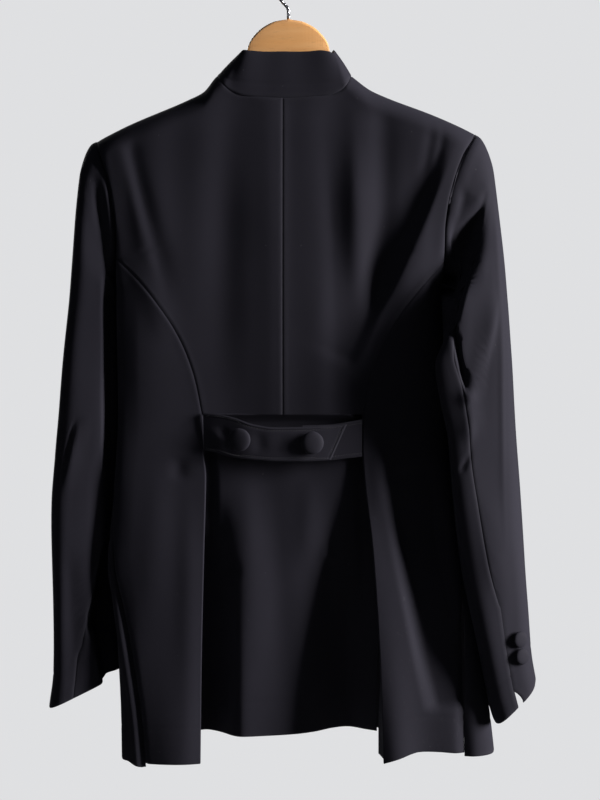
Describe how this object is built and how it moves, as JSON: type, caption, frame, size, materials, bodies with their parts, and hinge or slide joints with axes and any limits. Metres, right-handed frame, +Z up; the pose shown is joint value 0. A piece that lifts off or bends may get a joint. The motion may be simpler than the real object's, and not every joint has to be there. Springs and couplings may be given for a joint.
{
  "type": "waisted stand-collar jacket on a wooden hanger",
  "caption": "Long waisted dark jacket with stand collar, pleated back skirt, buttoned half belt and two-piece sleeves, hung on a wooden hanger with a wire hook",
  "frame": {"origin": "inner top of the hanger's hook, where it rests on a rail", "axes": "+Z up, +X the wearer's left, the garment's front faces -Y and its back faces +Y"},
  "size_m": [0.5492, 0.1552, 0.902],
  "materials": {
    "suiting": "matte",
    "button_cloth": "matte",
    "wood": "satin",
    "steel": "satin"
  },
  "bodies": {
    "root": {"back_left": "suiting", "back_right": "suiting", "side_back_left": "suiting", "side_back_right": "suiting", "back_skirt": "suiting", "front_left": "suiting", "front_right": "suiting", "sleeve_top_left": "suiting", "sleeve_top_right": "suiting", "sleeve_under_left": "suiting", "sleeve_under_right": "suiting", "collar": "suiting", "belt_over": "suiting", "belt_under": "suiting", "belt_button_1": "button_cloth", "belt_button_2": "button_cloth", "cuff_button_right_1": "button_cloth", "cuff_button_right_2": "button_cloth", "front_button_1": "button_cloth", "front_button_2": "button_cloth", "front_button_3": "button_cloth", "front_button_4": "button_cloth", "hanger": "wood", "hook": "steel"}
  },
  "joints": []
}
